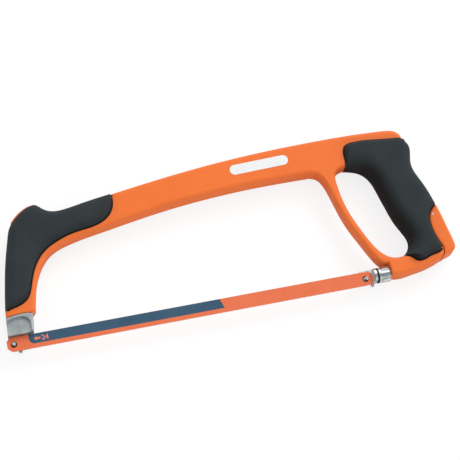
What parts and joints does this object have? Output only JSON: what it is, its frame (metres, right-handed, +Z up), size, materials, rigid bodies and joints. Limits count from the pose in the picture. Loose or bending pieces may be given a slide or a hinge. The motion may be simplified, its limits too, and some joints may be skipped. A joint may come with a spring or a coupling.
{
  "type": "hacksaw",
  "caption": "Hand hacksaw with a cast frame, rubber grips, a knuckle guard, a quick-tension lever in the handle and a crown nut behind the blade holder.",
  "frame": {"origin": "on the surface the saw lies on, under the middle of its bounding box", "axes": "+X along the blade from the front arm to the handle, +Y from the blade to the main beam, +Z up, square to the saw, which lies on its side with the blade's free face up"},
  "size_m": [0.3887, 0.1386, 0.028],
  "materials": {
    "orange_coat": "satin powder coat",
    "dark_rubber": "matt",
    "white_label": "satin",
    "cast_zinc": "satin cast and milled",
    "plated_steel": "bright zinc plate",
    "hard_pin": "ground",
    "blade_steel": "painted steel, bare teeth",
    "black_ring": "matt"
  },
  "bodies": {
    "frame": {"saw_frame": "orange_coat", "front_grip_pad": "dark_rubber", "handle_grip": "dark_rubber", "label_plate": "white_label", "front_blade_anchor": "cast_zinc", "front_blade_pin": "hard_pin", "front_spare_pin": "hard_pin", "anchor_cross_pin": "hard_pin", "lever_pivot_pin": "hard_pin", "nose_bush": "hard_pin", "catch_clip": "hard_pin"},
    "lever": {"tension_lever": "orange_coat", "lever_catch_pin": "hard_pin"},
    "puller": {"draw_bar": "plated_steel"},
    "holder": {"rear_blade_holder": "plated_steel", "rear_blade_pin": "hard_pin", "rear_spare_pin": "hard_pin", "friction_ring": "black_ring", "nut_snap_ring": "hard_pin"},
    "nut": {"tension_nut": "plated_steel"},
    "blade": {"saw_blade": "blade_steel"}
  },
  "joints": [
    {"name": "lever_open", "type": "hinge", "parent": "frame", "child": "lever", "pos_m": [0.1715, -0.05075, 0.014], "axis": [0, 0, -1], "range_deg": [0, 55]},
    {"name": "bar_slack", "type": "slide", "parent": "frame", "child": "puller", "axis": [-1, 0, 0], "range_m": [0, 0.0005]},
    {"name": "holder_adjust", "type": "slide", "parent": "puller", "child": "holder", "axis": [-1, 0, 0], "range_m": [0, 0.0004]},
    {"name": "nut_turn", "type": "hinge", "parent": "holder", "child": "nut", "pos_m": [0.127, -0.06115, 0.014], "axis": [1, 0, 0], "range_deg": [0, 180]},
    {"name": "blade_lift", "type": "slide", "parent": "frame", "child": "blade", "axis": [0, 0, 1], "range_m": [0, 0.012]}
  ],
  "couplings": [
    {"joint": "bar_slack", "follows": "lever_open", "m_per_rad": 0.00052},
    {"joint": "nut_turn", "follows": "holder_adjust", "rad_per_m": 7853.9}
  ]
}
